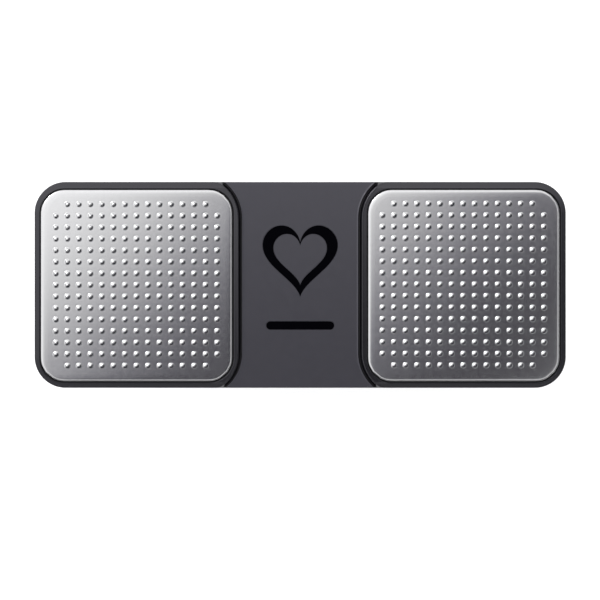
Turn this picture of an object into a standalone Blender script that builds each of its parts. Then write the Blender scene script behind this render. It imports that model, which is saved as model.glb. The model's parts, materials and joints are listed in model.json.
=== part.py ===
"""Pocket heart monitor: two embossed steel pads on a thin moulded case, with its inner works.

Lengths are in metres. X runs along the case, Y across it and Z up through its thickness.
The origin is at the middle of the back face, and the pads face +Z.
"""
import math

import bmesh
import bpy
from mathutils import Matrix, Vector

# Plan of the case
ELECTRODE_SIZE = 0.0297
ELECTRODE_CORNER = 0.0037
END_MARGIN = 0.0009
SIDE_MARGIN = 0.00105
SKIRT_REACH = 0.00145
PANEL_LENGTH = 0.0179
BODY_CORNER = 0.0048
WALL = 0.0010
CREST_REACH = 0.00085
SPANDREL_SHARE = 0.8
GROOVE_CLEARANCE = 0.00003
GROOVE_WIDTH = 0.00022

# Heights, from the back face up
FLOOR = 0.0005
SEAM_HEIGHT = 0.0012
TONGUE_HEIGHT = 0.0004
PANEL_THICKNESS = 0.00052
WELL_FLOOR = 0.00047
SKIRT_STEP = 0.00012
CREST_STEP = 0.00015
GROOVE_DEPTH = 0.0001
ADHESIVE_THICKNESS = 0.00009
ELECTRODE_SHEET = 0.00028

# Clearances
SEAT_GAP = 0.00005
FILM_GAP = 0.00003
DOOR_GAP = 0.0001
PAD_GAP = 0.0001
BOARD_GAP = 0.0003
OVERRUN = 0.0008

# Edges of the mouldings
BACK_EDGE = 0.0006
FRONT_EDGE = 0.0003
WELL_CHAMFER = 0.00012
PAD_EDGE = 0.00014

# Embossed domes of a pad
DOMES_PER_SIDE = 15
DOME_PITCH = 0.00178
DOME_DIAMETER = 0.0010
DOME_HEIGHT = 0.00027
DOME_ROOT = 0.00003
DOME_SIDES = 6
DOME_RINGS = 4
DOME_BURIED_SHARE = 0.3

# Adhesive frame under a pad
ADHESIVE_INSET = 0.00025
ADHESIVE_WIDTH = 0.0026
ADHESIVE_CORNER = 0.0010

# Coin cell, a CR2016
CELL_DIAMETER = 0.0200
CELL_HEIGHT = 0.0016
CELL_SHEET = 0.00025
CELL_EDGE = 0.0003
CELL_SEAL = 0.0004
CELL_CAP_STEP = 0.00015
CELL_CAP_RIM = 0.0004

# Cup that holds the cell
CUP_GAP = 0.00015
CUP_WALL = 0.0005
CUP_LIFT = 0.0002

# Battery door
DOOR_MARGIN = 0.0020
DOOR_CORNER = 0.0024
LUG_SPREAD = 0.0060
LUG_WIDTH = 0.0030
LUG_REACH = 0.0008
LUG_THICKNESS = 0.0004
LUG_NECK = 0.0008
SCOOP_LENGTH = 0.0016
SCOOP_WIDTH = 0.0080
SCOOP_DEPTH = 0.0002
NOTCH_LENGTH = 0.0007
NOTCH_WIDTH = 0.0050
NOTCH_DEPTH = 0.00025

# Spring metal
LEAF = 0.0001
CLIP_WIDTH = 0.0060
CLIP_RUN = 0.0014
CLIP_RISE = 0.0005
LEAF_WIDTH = 0.0030
LEAF_FOOT = 0.0022
LEAF_NOTCH_GAP = 0.0003
PAD_SPRING_WIDTH = 0.0016
PAD_SPRING_RUN = 0.0019
PAD_SPRING_INSET = 0.00445
PAD_SLOT_GAP = 0.0004

# Circuit board, what holds it and what it carries
BOARD_THICKNESS = 0.00045
LUG_CLEARANCE = 0.00006
LEDGE = 0.0008
POST_DIAMETER = 0.0016
POST_X = 0.0058
POST_Y = 0.0095
CHIP_EDGE = 0.00005
PROCESSOR_SIDE = 0.0050
AMPLIFIER_SIDE = 0.0040
CRYSTAL_LENGTH = 0.0032
CRYSTAL_WIDTH = 0.0015
CAPACITOR_LENGTH = 0.0016
CAPACITOR_WIDTH = 0.0008
RESISTOR_LENGTH = 0.0010
RESISTOR_WIDTH = 0.0005

# Sounder
PIEZO_PLATE_DIAMETER = 0.0150
PIEZO_PLATE_THICKNESS = 0.00015
PIEZO_CERAMIC_DIAMETER = 0.0110
PIEZO_CERAMIC_THICKNESS = 0.00012
PIEZO_RING_GAP = 0.00015
PIEZO_RING_WALL = 0.0005
PIEZO_RING_HEIGHT = 0.0004
LEAD_DIAMETER = 0.00024
LEAD_LENGTH = 0.0052
LEAD_SPREAD = 0.0024

# How finely round things are made
CORNER_STEPS = 4
INNER_STEPS = 3
EDGE_STEPS = 2
CELL_STEPS = 24
CUP_STEPS = 20
DISC_STEPS = 16
POST_STEPS = 6
MERGE_DISTANCE = 0.000001
SHARP_ANGLE = math.radians(35)

# Worked out from the sizes above
body_length = 2 * (END_MARGIN + ELECTRODE_SIZE + SKIRT_REACH) + PANEL_LENGTH
body_width = ELECTRODE_SIZE + 2 * SIDE_MARGIN
half_length = body_length / 2
half_width = body_width / 2
pad_x = half_length - END_MARGIN - ELECTRODE_SIZE / 2
skirt_x = PANEL_LENGTH / 2
crest_x = skirt_x + SKIRT_REACH - CREST_REACH

cell_low = FLOOR + SEAT_GAP
cell_top = cell_low + CELL_HEIGHT
leaf_low = cell_top + FILM_GAP
ceiling = leaf_low + LEAF + SEAT_GAP
panel_top = ceiling + PANEL_THICKNESS
skirt_top = panel_top + SKIRT_STEP
crest_top = skirt_top + CREST_STEP
well_low = ceiling + WELL_FLOOR
adhesive_low = well_low + FILM_GAP
pad_low = adhesive_low + ADHESIVE_THICKNESS + FILM_GAP
pad_top = pad_low + ELECTRODE_SHEET
front_low = SEAM_HEIGHT + SEAT_GAP

cell_radius = CELL_DIAMETER / 2
cup_inner = cell_radius + CUP_GAP
cup_outer = cup_inner + CUP_WALL
cup_low = FLOOR + CUP_LIFT
opening_half = cell_radius + DOOR_MARGIN
door_half = opening_half - DOOR_GAP
hinge_x = pad_x - opening_half
latch_x = pad_x + opening_half
lug_low = FLOOR + SEAT_GAP
lug_top = lug_low + LUG_THICKNESS
lug_sweep = math.hypot(LUG_REACH, lug_top)
board_low = lug_sweep + LUG_CLEARANCE
board_top = board_low + BOARD_THICKNESS
parts_low = board_top + FILM_GAP
parts_high = ceiling - SEAT_GAP
ledge_top = board_low - SEAT_GAP

# Places of the board's parts, as shares of its half length and half width, and their
# heights, as shares of the room between board and case
PROCESSOR_PLACE_SHARES = (0.0, 0.02)
AMPLIFIER_PLACE_SHARES = (-0.24, 0.02)
CRYSTAL_PLACE_SHARES = (0.0, 0.44)
CAPACITOR_PLACE_SHARES = ((-0.13, 0.34), (-0.13, -0.3), (-0.35, 0.34), (-0.35, -0.3))
RESISTOR_PLACE_SHARES = ((0.1, 0.34), (0.1, -0.3), (-0.24, 0.5), (-0.24, -0.46))
PROCESSOR_HEIGHT_SHARE = 1.0
AMPLIFIER_HEIGHT_SHARE = 0.9
CRYSTAL_HEIGHT_SHARE = 0.8
CAPACITOR_HEIGHT_SHARE = 0.95
RESISTOR_HEIGHT_SHARE = 0.65

# Within this share of a box's height of its rim, an edge lies on the rim
LEVEL_SHARE = 0.001

# Spring shapes, as shares of each spring's run and rise
PAD_SPRING_SHARES = ((0.0, 0.0), (0.62, 0.0), (0.9, 0.3), (0.62, 0.86), (0.3, 1.0), (0.0, 0.9))
CLIP_SHARES = ((0.75, 0.0), (0.12, 0.0), (0.0, 0.5), (0.2, 1.0), (0.7, 1.0), (1.0, 0.12))
LEAD_SHARES = ((0.0, 0.0), (0.2, 0.35), (0.45, 0.15), (0.7, 0.5), (0.88, 0.7), (1.0, 1.0))

MATERIALS = {
    "black_plastic": ((0.045, 0.044, 0.05), 0.42, 0.0),
    "electrode_steel": ((0.62, 0.62, 0.63), 0.3, 1.0),
    "adhesive_film": ((0.75, 0.73, 0.66), 0.6, 0.0),
    "board_green": ((0.02, 0.16, 0.07), 0.45, 0.0),
    "chip_black": ((0.02, 0.02, 0.022), 0.5, 0.0),
    "can_steel": ((0.7, 0.7, 0.72), 0.25, 1.0),
    "capacitor_tan": ((0.45, 0.31, 0.2), 0.5, 0.0),
    "seal_grey": ((0.16, 0.16, 0.17), 0.6, 0.0),
    "spring_gold": ((0.83, 0.62, 0.27), 0.28, 1.0),
    "piezo_brass": ((0.72, 0.52, 0.2), 0.3, 1.0),
    "piezo_white": ((0.8, 0.79, 0.74), 0.55, 0.0),
    "lead_red": ((0.5, 0.03, 0.03), 0.5, 0.0),
}


def clear_scene():
    for old in list(bpy.data.objects):
        bpy.data.objects.remove(old, do_unlink=True)


def new_collection(name):
    collection = bpy.data.collections.new(name)
    bpy.context.scene.collection.children.link(collection)
    return collection


def material(name):
    found = bpy.data.materials.get(name)
    if found:
        return found
    colour, roughness, metallic = MATERIALS[name]
    made = bpy.data.materials.new(name)
    made.use_nodes = True
    shader = made.node_tree.nodes["Principled BSDF"]
    shader.inputs["Base Color"].default_value = (*colour, 1.0)
    shader.inputs["Roughness"].default_value = roughness
    shader.inputs["Metallic"].default_value = metallic
    return made


def place(name, mesh, slot=None):
    """Link a mesh as a part of the given material, or as a cutter where slot is None."""
    made = bpy.data.objects.new(name, mesh)
    if slot:
        PARTS.objects.link(made)
        mesh.materials.append(material(slot))
    else:
        CUTTERS.objects.link(made)
        made.hide_render = True
        made.display_type = "WIRE"
    return made


def mesh_of(bm, name):
    mesh = bpy.data.meshes.new(name)
    bm.to_mesh(mesh)
    bm.free()
    return mesh


def level_edges(bm, z, height):
    near = height * LEVEL_SHARE
    return [e for e in bm.edges if all(abs(v.co.z - z) < near for v in e.verts)]


def rounded_form(low, high, corner, top_edge=0, bottom_edge=0, steps=CORNER_STEPS,
                 edge_steps=1):
    """A box whose upright edges have the corner radius, with its rims rounded if asked."""
    bm = bmesh.new()
    bmesh.ops.create_cube(bm, size=1)
    size = Vector(high) - Vector(low)
    middle = (Vector(high) + Vector(low)) / 2
    bmesh.ops.transform(bm, matrix=Matrix.Diagonal((*size, 1)), verts=bm.verts)
    bmesh.ops.translate(bm, vec=middle, verts=bm.verts)
    upright = [e for e in bm.edges if abs(e.verts[0].co.z - e.verts[1].co.z) > size.z / 2]
    if corner:
        bmesh.ops.bevel(bm, geom=upright, offset=corner, segments=steps, profile=0.5,
                        affect="EDGES")
    for z, edge in ((high[2], top_edge), (low[2], bottom_edge)):
        if edge:
            bmesh.ops.bevel(bm, geom=level_edges(bm, z, size.z), offset=edge,
                            segments=edge_steps, profile=0.5, affect="EDGES")
    return bm


def rounded_box(name, low, high, corner, slot=None, **edges):
    return place(name, mesh_of(rounded_form(low, high, corner, **edges), name), slot)


def centred_box(name, centre, half_x, half_y, z_low, z_high, corner, slot=None, **edges):
    low = (centre[0] - half_x, centre[1] - half_y, z_low)
    high = (centre[0] + half_x, centre[1] + half_y, z_high)
    return rounded_box(name, low, high, corner, slot, **edges)


def inset_box(name, inset, z_low, z_high, slot=None, **edges):
    """The case's own outline, drawn in by an inset, between two heights."""
    corner = max(BODY_CORNER - inset, WALL / 2)
    return centred_box(name, (0, 0), half_length - inset, half_width - inset,
                       z_low, z_high, corner, slot, **edges)


def turned(name, profile, steps, centre, slot=None, ring=False):
    """Turn a profile of radius and height about an upright axis with a Screw modifier."""
    mesh = bpy.data.meshes.new(name)
    count = len(profile)
    edges = [(i, i + 1) for i in range(count - 1)]
    if ring:
        edges.append((count - 1, 0))
    mesh.from_pydata([(r, 0, z) for r, z in profile], edges, [])
    made = place(name, mesh, slot)
    made.location = (*centre, 0)
    screw = made.modifiers.new("turn", "SCREW")
    screw.axis = "Z"
    screw.angle = math.tau
    screw.steps = steps
    screw.render_steps = steps
    screw.use_merge_vertices = True
    screw.merge_threshold = MERGE_DISTANCE
    screw.use_smooth_shade = False
    return made


def ring(name, inner, outer, z_low, z_high, steps, centre, slot=None):
    profile = [(outer, z_high), (outer, z_low), (inner, z_low), (inner, z_high)]
    return turned(name, profile, steps, centre, slot, ring=True)


def disc(name, radius, z_low, z_high, steps, centre, slot=None):
    profile = [(0, z_high), (radius, z_high), (radius, z_low), (0, z_low)]
    return turned(name, profile, steps, centre, slot)


def extruded(name, outline, y_low, y_high, slot=None):
    """An outline of X and Z points, drawn as a filled flat curve and extruded along Y."""
    curve = bpy.data.curves.new(name, "CURVE")
    curve.dimensions = "2D"
    curve.fill_mode = "BOTH"
    curve.extrude = (y_high - y_low) / 2
    spline = curve.splines.new("POLY")
    spline.points.add(len(outline) - 1)
    for point, (x, z) in zip(spline.points, outline):
        point.co = (x, z, 0, 1)
    spline.use_cyclic_u = True
    drawn = bpy.data.objects.new(name, curve)
    CUTTERS.objects.link(drawn)
    drawn.rotation_euler = (math.pi / 2, 0, 0)
    drawn.location = (0, (y_low + y_high) / 2, 0)
    bpy.context.view_layer.update()
    seen = drawn.evaluated_get(bpy.context.evaluated_depsgraph_get())
    mesh = bpy.data.meshes.new_from_object(seen)
    matrix = drawn.matrix_world.copy()
    bpy.data.objects.remove(drawn, do_unlink=True)
    bm = bmesh.new()
    bm.from_mesh(mesh)
    bmesh.ops.remove_doubles(bm, verts=bm.verts, dist=MERGE_DISTANCE)
    bmesh.ops.recalc_face_normals(bm, faces=bm.faces)
    bm.to_mesh(mesh)
    bm.free()
    made = place(name, mesh, slot)
    made.matrix_world = matrix
    return made


def strip(name, stations, start, run, across, width, thickness, slot):
    """A bent strip of sheet: an edge swept through its stations, then given its thickness."""
    bm = bmesh.new()
    side = across * (width / 2)
    places = [start + run * share_run + Vector((0, 0, rise)) for share_run, rise in stations]
    edge = bm.edges.new([bm.verts.new(places[0] - side), bm.verts.new(places[0] + side)])
    for before, after in zip(places, places[1:]):
        grown = bmesh.ops.extrude_edge_only(bm, edges=[edge])["geom"]
        moved = [g for g in grown if isinstance(g, bmesh.types.BMVert)]
        edge = next(g for g in grown if isinstance(g, bmesh.types.BMEdge))
        bmesh.ops.translate(bm, vec=after - before, verts=moved)
    made = place(name, mesh_of(bm, name), slot)
    sheet = made.modifiers.new("sheet", "SOLIDIFY")
    sheet.thickness = thickness
    sheet.offset = 0
    sheet.use_even_offset = True
    return made


def wire(name, points, diameter, slot):
    """A round wire through its points, with filled ends, made a mesh."""
    curve = bpy.data.curves.new(name, "CURVE")
    curve.dimensions = "3D"
    curve.bevel_depth = diameter / 2
    curve.bevel_resolution = 1
    curve.use_fill_caps = True
    spline = curve.splines.new("POLY")
    spline.points.add(len(points) - 1)
    for point, spot in zip(spline.points, points):
        point.co = (*spot, 1)
    made = bpy.data.objects.new(name, curve)
    PARTS.objects.link(made)
    curve.materials.append(material(slot))
    return made


def boolean(target, tool, operation):
    modifier = target.modifiers.new(tool.name, "BOOLEAN")
    modifier.operation = operation
    modifier.object = tool
    modifier.solver = "EXACT"


def cut(target, *tools):
    for tool in tools:
        boolean(target, tool, "DIFFERENCE")


def join(target, *tools):
    for tool in tools:
        boolean(target, tool, "UNION")


def step_cutter(name, inner_x, z_low):
    """What lies above a height between the two rims, whose inner ends are round."""
    reach = inner_x + SPANDREL_SHARE * BODY_CORNER
    made = centred_box(name, (0, 0), reach, half_width + OVERRUN, z_low,
                       crest_top + OVERRUN, 0)
    outer_x = half_length + OVERRUN
    for end, side in (("left", -1), ("right", 1)):
        middle = side * (inner_x + outer_x) / 2
        rim = centred_box(f"{end}_{name}_rim", (middle, 0), (outer_x - inner_x) / 2,
                          half_width, z_low - OVERRUN, crest_top + 2 * OVERRUN, BODY_CORNER)
        cut(made, rim)
    return made


def board_posts(name, z_low, z_high):
    """Four round posts between the case and the board."""
    posts = []
    for x, y in ((-POST_X, -POST_Y), (POST_X, -POST_Y), (-POST_X, POST_Y), (POST_X, POST_Y)):
        number = len(posts) + 1
        posts.append(disc(f"{name}_{number}", POST_DIAMETER / 2, z_low, z_high, POST_STEPS,
                          (x, y)))
    return posts


def cell_cup():
    """The round wall that holds the cell, with a notch for each of its contacts."""
    cup = ring("cell_cup", cup_inner, cup_outer, cup_low, ceiling + WELL_FLOOR / 2, CUP_STEPS,
               (pad_x, 0))
    half = LEAF_WIDTH / 2 + LEAF_NOTCH_GAP
    for name, side in (("positive_notch", -1), ("negative_notch", 1)):
        notch = centred_box(name, (pad_x, side * cup_outer), half, 2 * CUP_WALL + CUP_GAP,
                            cup_low - OVERRUN, ceiling + WELL_FLOOR, 0)
        cut(cup, notch)
    return cup


def pad_spring_place(side):
    return (side * (pad_x - ELECTRODE_SIZE / 2 + PAD_SPRING_INSET),
            ELECTRODE_SIZE / 2 - PAD_SPRING_INSET)


def well_cutter(name, side):
    """The well of a pad, whose mouth flares out to a chamfer on the crest."""
    half = ELECTRODE_SIZE / 2 + PAD_GAP
    x = side * pad_x
    bm = rounded_form((x - half, -half, well_low), (x + half, half, crest_top - WELL_CHAMFER),
                      ELECTRODE_CORNER + PAD_GAP)
    for rise, flare in ((WELL_CHAMFER, WELL_CHAMFER), (OVERRUN, 0)):
        top = max(bm.faces, key=lambda face: face.calc_center_median().z)
        grown = bmesh.ops.extrude_face_region(bm, geom=[top])["geom"]
        bmesh.ops.delete(bm, geom=[top], context="FACES_ONLY")
        lifted = [g for g in grown if isinstance(g, bmesh.types.BMVert)]
        bmesh.ops.translate(bm, vec=(0, 0, rise), verts=lifted)
        spread = 1 + flare / half
        bmesh.ops.scale(bm, vec=(spread, spread, 1), space=Matrix.Translation((-x, 0, 0)),
                        verts=lifted)
    return place(name, mesh_of(bm, name))


def groove_cutter(name, side):
    """A groove round a pad, which runs along the skirt and out through the case's sides."""
    inner = SIDE_MARGIN + GROOVE_CLEARANCE
    outer = inner + GROOVE_WIDTH
    low, high = panel_top - GROOVE_DEPTH, crest_top + OVERRUN
    half = ELECTRODE_SIZE / 2
    made = centred_box(name, (side * pad_x, 0), half + outer, half + outer, low, high,
                       ELECTRODE_CORNER + outer)
    cut(made, centred_box(name + "_core", (side * pad_x, 0), half + inner, half + inner,
                          low - OVERRUN, high + OVERRUN, ELECTRODE_CORNER + inner))
    return made


def front_housing():
    """The front shell: panel, grooved skirts and crests in steps, and a well for each pad."""
    made = inset_box("front_housing", 0, front_low, crest_top, "black_plastic",
                     top_edge=FRONT_EDGE, edge_steps=EDGE_STEPS)
    cut(made, step_cutter("skirt_step", crest_x, skirt_top),
        step_cutter("panel_step", skirt_x, panel_top))
    cut(made, groove_cutter("left_groove", -1), groove_cutter("right_groove", 1))
    cut(made, well_cutter("left_well", -1), well_cutter("right_well", 1))
    cut(made, inset_box("front_cavity", WALL, front_low - OVERRUN, ceiling,
                        steps=INNER_STEPS))
    cut(made, inset_box("seam_rebate", WALL / 2, front_low - OVERRUN,
                        front_low + TONGUE_HEIGHT, steps=INNER_STEPS))
    join(made, cell_cup())
    join(made, *board_posts("upper_post", board_top + SEAT_GAP, ceiling + WELL_FLOOR / 2))
    for name, side in (("left", -1), ("right", 1)):
        x, y = pad_spring_place(side)
        slot = centred_box(name + "_spring_slot", (x, y), PAD_SPRING_RUN / 2 + PAD_SLOT_GAP,
                           PAD_SPRING_WIDTH / 2 + PAD_SLOT_GAP, ceiling - OVERRUN / 2,
                           well_low + OVERRUN, 0)
        cut(made, slot)
    return made


def back_cover():
    made = inset_box("back_cover", 0, 0, SEAM_HEIGHT, "black_plastic",
                     bottom_edge=BACK_EDGE, edge_steps=EDGE_STEPS)
    join(made, inset_box("tongue", WALL / 2 + SEAT_GAP, SEAM_HEIGHT - FLOOR / 2,
                         SEAM_HEIGHT + TONGUE_HEIGHT, steps=INNER_STEPS))
    cut(made, inset_box("lower_cavity", WALL + LEDGE, FLOOR, SEAM_HEIGHT + OVERRUN,
                        steps=INNER_STEPS))
    cut(made, inset_box("upper_cavity", WALL, ledge_top,
                        SEAM_HEIGHT + TONGUE_HEIGHT + OVERRUN, steps=INNER_STEPS))
    join(made, *board_posts("lower_post", FLOOR / 2, ledge_top))
    piezo_inner = PIEZO_PLATE_DIAMETER / 2 + PIEZO_RING_GAP
    join(made, ring("piezo_ring", piezo_inner, piezo_inner + PIEZO_RING_WALL, FLOOR / 2,
                    FLOOR + PIEZO_RING_HEIGHT, DISC_STEPS, (-pad_x, 0)))
    cut(made, centred_box("door_opening", (pad_x, 0), opening_half, opening_half,
                          -OVERRUN, FLOOR + OVERRUN, DOOR_CORNER + DOOR_GAP))
    cut(made, centred_box("nail_notch", (latch_x, 0), NOTCH_LENGTH, NOTCH_WIDTH / 2,
                          -OVERRUN, NOTCH_DEPTH, NOTCH_LENGTH / 2, steps=2))
    return made


def battery_door():
    """The door, whose two lugs hook over the cover's floor at the hinge end."""
    made = centred_box("battery_door", (pad_x, 0), door_half, door_half, 0, FLOOR,
                       DOOR_CORNER, "black_plastic")
    neck_low = hinge_x + 2 * DOOR_GAP
    neck_high = neck_low + LUG_NECK
    hook = [(neck_low, FLOOR / 2), (neck_high, FLOOR / 2), (neck_high, lug_top),
            (hinge_x - LUG_REACH, lug_top), (hinge_x - LUG_REACH, lug_low),
            (neck_low, lug_low)]
    for name, side in (("front_lug", -1), ("rear_lug", 1)):
        y = side * LUG_SPREAD
        join(made, extruded(name, hook, y - LUG_WIDTH / 2, y + LUG_WIDTH / 2))
    scoop_x = pad_x + door_half - SCOOP_LENGTH
    cut(made, centred_box("scoop", (scoop_x, 0), SCOOP_LENGTH / 2, SCOOP_WIDTH / 2,
                          -OVERRUN, SCOOP_DEPTH, SCOOP_LENGTH / 3, steps=2))
    return made


def door_clip():
    rise = [(run, share * CLIP_RISE) for run, share in CLIP_SHARES]
    start = Vector((pad_x + door_half - CLIP_RUN / 2 - LUG_REACH / 2, 0,
                    FLOOR + FILM_GAP + LEAF / 2))
    return strip("door_clip", rise, start, Vector((CLIP_RUN, 0, 0)), Vector((0, 1, 0)),
                 CLIP_WIDTH, LEAF, "spring_gold")


def dome_grid(name, centre):
    """The pad's domes: a square grid that leaves out its four corner places."""
    bm = bmesh.new()
    radius = DOME_DIAMETER / 2
    rise = DOME_HEIGHT + DOME_ROOT
    stretch = Matrix.Diagonal((radius, radius, rise, 1))
    flatten = Matrix.Diagonal((1, 1, DOME_BURIED_SHARE, 1))
    last = DOMES_PER_SIDE - 1
    for row in range(DOMES_PER_SIDE):
        for column in range(DOMES_PER_SIDE):
            if row in (0, last) and column in (0, last):
                continue
            at = Matrix.Translation((centre[0] + (column - last / 2) * DOME_PITCH,
                                     centre[1] + (row - last / 2) * DOME_PITCH,
                                     pad_top - DOME_ROOT))
            dome = bmesh.ops.create_uvsphere(bm, u_segments=DOME_SIDES,
                                             v_segments=DOME_RINGS, radius=1)["verts"]
            buried = [v for v in dome if v.co.z < 0]
            bmesh.ops.transform(bm, matrix=flatten, verts=buried)
            bmesh.ops.transform(bm, matrix=at @ stretch, verts=dome)
    return place(name, mesh_of(bm, name))


def electrode(name, side):
    centre = (side * pad_x, 0)
    made = centred_box(name, centre, ELECTRODE_SIZE / 2, ELECTRODE_SIZE / 2, pad_low,
                       pad_top, ELECTRODE_CORNER, "electrode_steel", top_edge=PAD_EDGE)
    join(made, dome_grid(name + "_domes", centre))
    return made


def electrode_adhesive(name, side):
    centre = (side * pad_x, 0)
    outer = ELECTRODE_SIZE / 2 - ADHESIVE_INSET
    inner = outer - ADHESIVE_WIDTH
    made = centred_box(name, centre, outer, outer, adhesive_low,
                       adhesive_low + ADHESIVE_THICKNESS, ELECTRODE_CORNER - ADHESIVE_INSET,
                       "adhesive_film", steps=3)
    cut(made, centred_box(name + "_window", centre, inner, inner, adhesive_low - OVERRUN,
                          adhesive_low + ADHESIVE_THICKNESS + OVERRUN, ADHESIVE_CORNER,
                          steps=2))
    return made


def contact_spring(name, side):
    """The spring that stands on the board and reaches up through the well to the pad."""
    x, y = pad_spring_place(side)
    low = parts_low + LEAF / 2
    rise = pad_low - FILM_GAP - LEAF / 2 - low
    stations = [(run - 1 / 2, share * rise) for run, share in PAD_SPRING_SHARES]
    return strip(name, stations, Vector((x, y, low)), Vector((PAD_SPRING_RUN, 0, 0)),
                 Vector((0, 1, 0)), PAD_SPRING_WIDTH, LEAF, "spring_gold")


def circuit_board():
    made = inset_box("circuit_board", WALL + BOARD_GAP, board_low, board_top, "board_green",
                     steps=INNER_STEPS)
    cut(made, disc("cup_hole", cup_outer + BOARD_GAP, board_low - OVERRUN,
                   board_top + OVERRUN, CUP_STEPS, (pad_x, 0)))
    return made


def chip(name, length, width, place_shares, height_share, slot):
    """A flat part on the board, set by shares of the board's half length and half width."""
    centre = (place_shares[0] * (half_length - WALL), place_shares[1] * (half_width - WALL))
    top = parts_low + height_share * (parts_high - parts_low)
    return centred_box(name, centre, length / 2, width / 2, parts_low, top, 0, slot,
                       top_edge=CHIP_EDGE)


def board_parts():
    chip("processor_chip", PROCESSOR_SIDE, PROCESSOR_SIDE, PROCESSOR_PLACE_SHARES,
         PROCESSOR_HEIGHT_SHARE, "chip_black")
    chip("amplifier_chip", AMPLIFIER_SIDE, AMPLIFIER_SIDE, AMPLIFIER_PLACE_SHARES,
         AMPLIFIER_HEIGHT_SHARE, "chip_black")
    chip("crystal_can", CRYSTAL_LENGTH, CRYSTAL_WIDTH, CRYSTAL_PLACE_SHARES,
         CRYSTAL_HEIGHT_SHARE, "can_steel")
    for number, shares in enumerate(CAPACITOR_PLACE_SHARES, 1):
        chip(f"chip_capacitor_{number}", CAPACITOR_LENGTH, CAPACITOR_WIDTH, shares,
             CAPACITOR_HEIGHT_SHARE, "capacitor_tan")
    for number, shares in enumerate(RESISTOR_PLACE_SHARES, 1):
        chip(f"chip_resistor_{number}", RESISTOR_LENGTH, RESISTOR_WIDTH, shares,
             RESISTOR_HEIGHT_SHARE, "chip_black")


def coin_cell():
    """Can, seal and cap of the cell, the can's flat side down against the door."""
    centre = (pad_x, 0)
    can_high = cell_top - CELL_CAP_STEP
    inside = cell_radius - CELL_SHEET
    seal_inner = inside - SEAT_GAP - CELL_SEAL
    inner_low = cell_low + CELL_SHEET
    can = [(0, inner_low), (inside, inner_low), (inside, can_high),
           (cell_radius - CELL_SHEET / 2, can_high), (cell_radius, can_high - CELL_SHEET),
           (cell_radius, cell_low + CELL_EDGE), (cell_radius - CELL_EDGE, cell_low),
           (0, cell_low)]
    turned("coin_cell_can", can, CELL_STEPS, centre, "can_steel")
    ring("coin_cell_seal", seal_inner, inside - SEAT_GAP, inner_low + FILM_GAP, can_high,
         CELL_STEPS, centre, "seal_grey")
    cap_radius = seal_inner - FILM_GAP
    cap = [(0, cell_top), (cap_radius - CELL_CAP_RIM, cell_top),
           (cap_radius, cell_top - CELL_CAP_STEP), (cap_radius, inner_low + FILM_GAP),
           (0, inner_low + FILM_GAP)]
    turned("coin_cell_cap", cap, CELL_STEPS, centre, "can_steel")


def cell_contacts():
    """The leaf over the cell's cap, and the blade against the side of its can."""
    foot_z = parts_low + LEAF / 2
    foot_out = cup_outer + BOARD_GAP + LEAF_FOOT
    foot_in = cup_outer + BOARD_GAP + BOARD_GAP
    over_z = leaf_low + LEAF / 2
    leaf = [(cell_radius / 4, over_z), (cup_outer + BOARD_GAP, over_z),
            (foot_in + BOARD_GAP / 2, foot_z), (foot_out, foot_z)]
    blade_y = cell_radius + SEAT_GAP + LEAF / 2
    blade = [(foot_out, foot_z), (cup_outer + BOARD_GAP / 6, foot_z),
             (blade_y + LEAF, board_low), (blade_y, (board_low + FLOOR) / 2),
             (blade_y + LEAF, cup_low + CUP_LIFT)]
    across = Vector((1, 0, 0))
    for name, path, side in (("negative_contact", leaf, 1), ("positive_contact", blade, -1)):
        strip(name, path, Vector((pad_x, 0, 0)), Vector((0, side, 0)), across, LEAF_WIDTH,
              LEAF, "spring_gold")


def sounder():
    centre = (-pad_x, 0)
    plate_low = FLOOR + SEAT_GAP
    ceramic_low = plate_low + PIEZO_PLATE_THICKNESS + FILM_GAP
    ceramic_high = ceramic_low + PIEZO_CERAMIC_THICKNESS
    disc("piezo_plate", PIEZO_PLATE_DIAMETER / 2, plate_low,
         plate_low + PIEZO_PLATE_THICKNESS, DISC_STEPS, centre, "piezo_brass")
    disc("piezo_ceramic", PIEZO_CERAMIC_DIAMETER / 2, ceramic_low, ceramic_high, DISC_STEPS,
         centre, "piezo_white")
    inner = PIEZO_CERAMIC_DIAMETER / 4
    outer = (PIEZO_CERAMIC_DIAMETER + PIEZO_PLATE_DIAMETER) / 4
    starts = ((inner, ceramic_high, LEAD_SPREAD / 2, "lead_red"),
              (outer, plate_low + PIEZO_PLATE_THICKNESS, -LEAD_SPREAD / 2, "chip_black"))
    for number, (x, low, y, slot) in enumerate(starts, 1):
        z_low = low + FILM_GAP + LEAD_DIAMETER / 2
        z_high = board_low - FILM_GAP - LEAD_DIAMETER / 2
        points = [(-pad_x + x + run * LEAD_LENGTH, y + rise * y, z_low + rise * (z_high - z_low))
                  for run, rise in LEAD_SHARES]
        wire(f"piezo_lead_{number}", points, LEAD_DIAMETER, slot)


def shade_by_angle(made):
    """Shade a part smooth over its round faces, and leave its corners sharp."""
    seen = made.evaluated_get(bpy.context.evaluated_depsgraph_get())
    mesh = bpy.data.meshes.new_from_object(seen)
    made.modifiers.clear()
    made.data = mesh
    mesh.shade_smooth()
    mesh.set_sharp_from_angle(angle=SHARP_ANGLE)


clear_scene()
PARTS = new_collection("pocket_heart_monitor")
CUTTERS = new_collection("cutters")
front_housing()
back_cover()
battery_door()
door_clip()
for pad_name, pad_side in (("left", -1), ("right", 1)):
    electrode(pad_name + "_electrode", pad_side)
    electrode_adhesive(pad_name + "_electrode_adhesive", pad_side)
    contact_spring(pad_name + "_contact_spring", pad_side)
circuit_board()
board_parts()
coin_cell()
cell_contacts()
sounder()
bpy.context.view_layer.update()
for part in PARTS.objects:
    if part.type == "MESH":
        shade_by_angle(part)
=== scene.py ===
"""Looks of the pocket heart monitor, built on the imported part. All lengths are in metres."""
import json
import math

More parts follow.
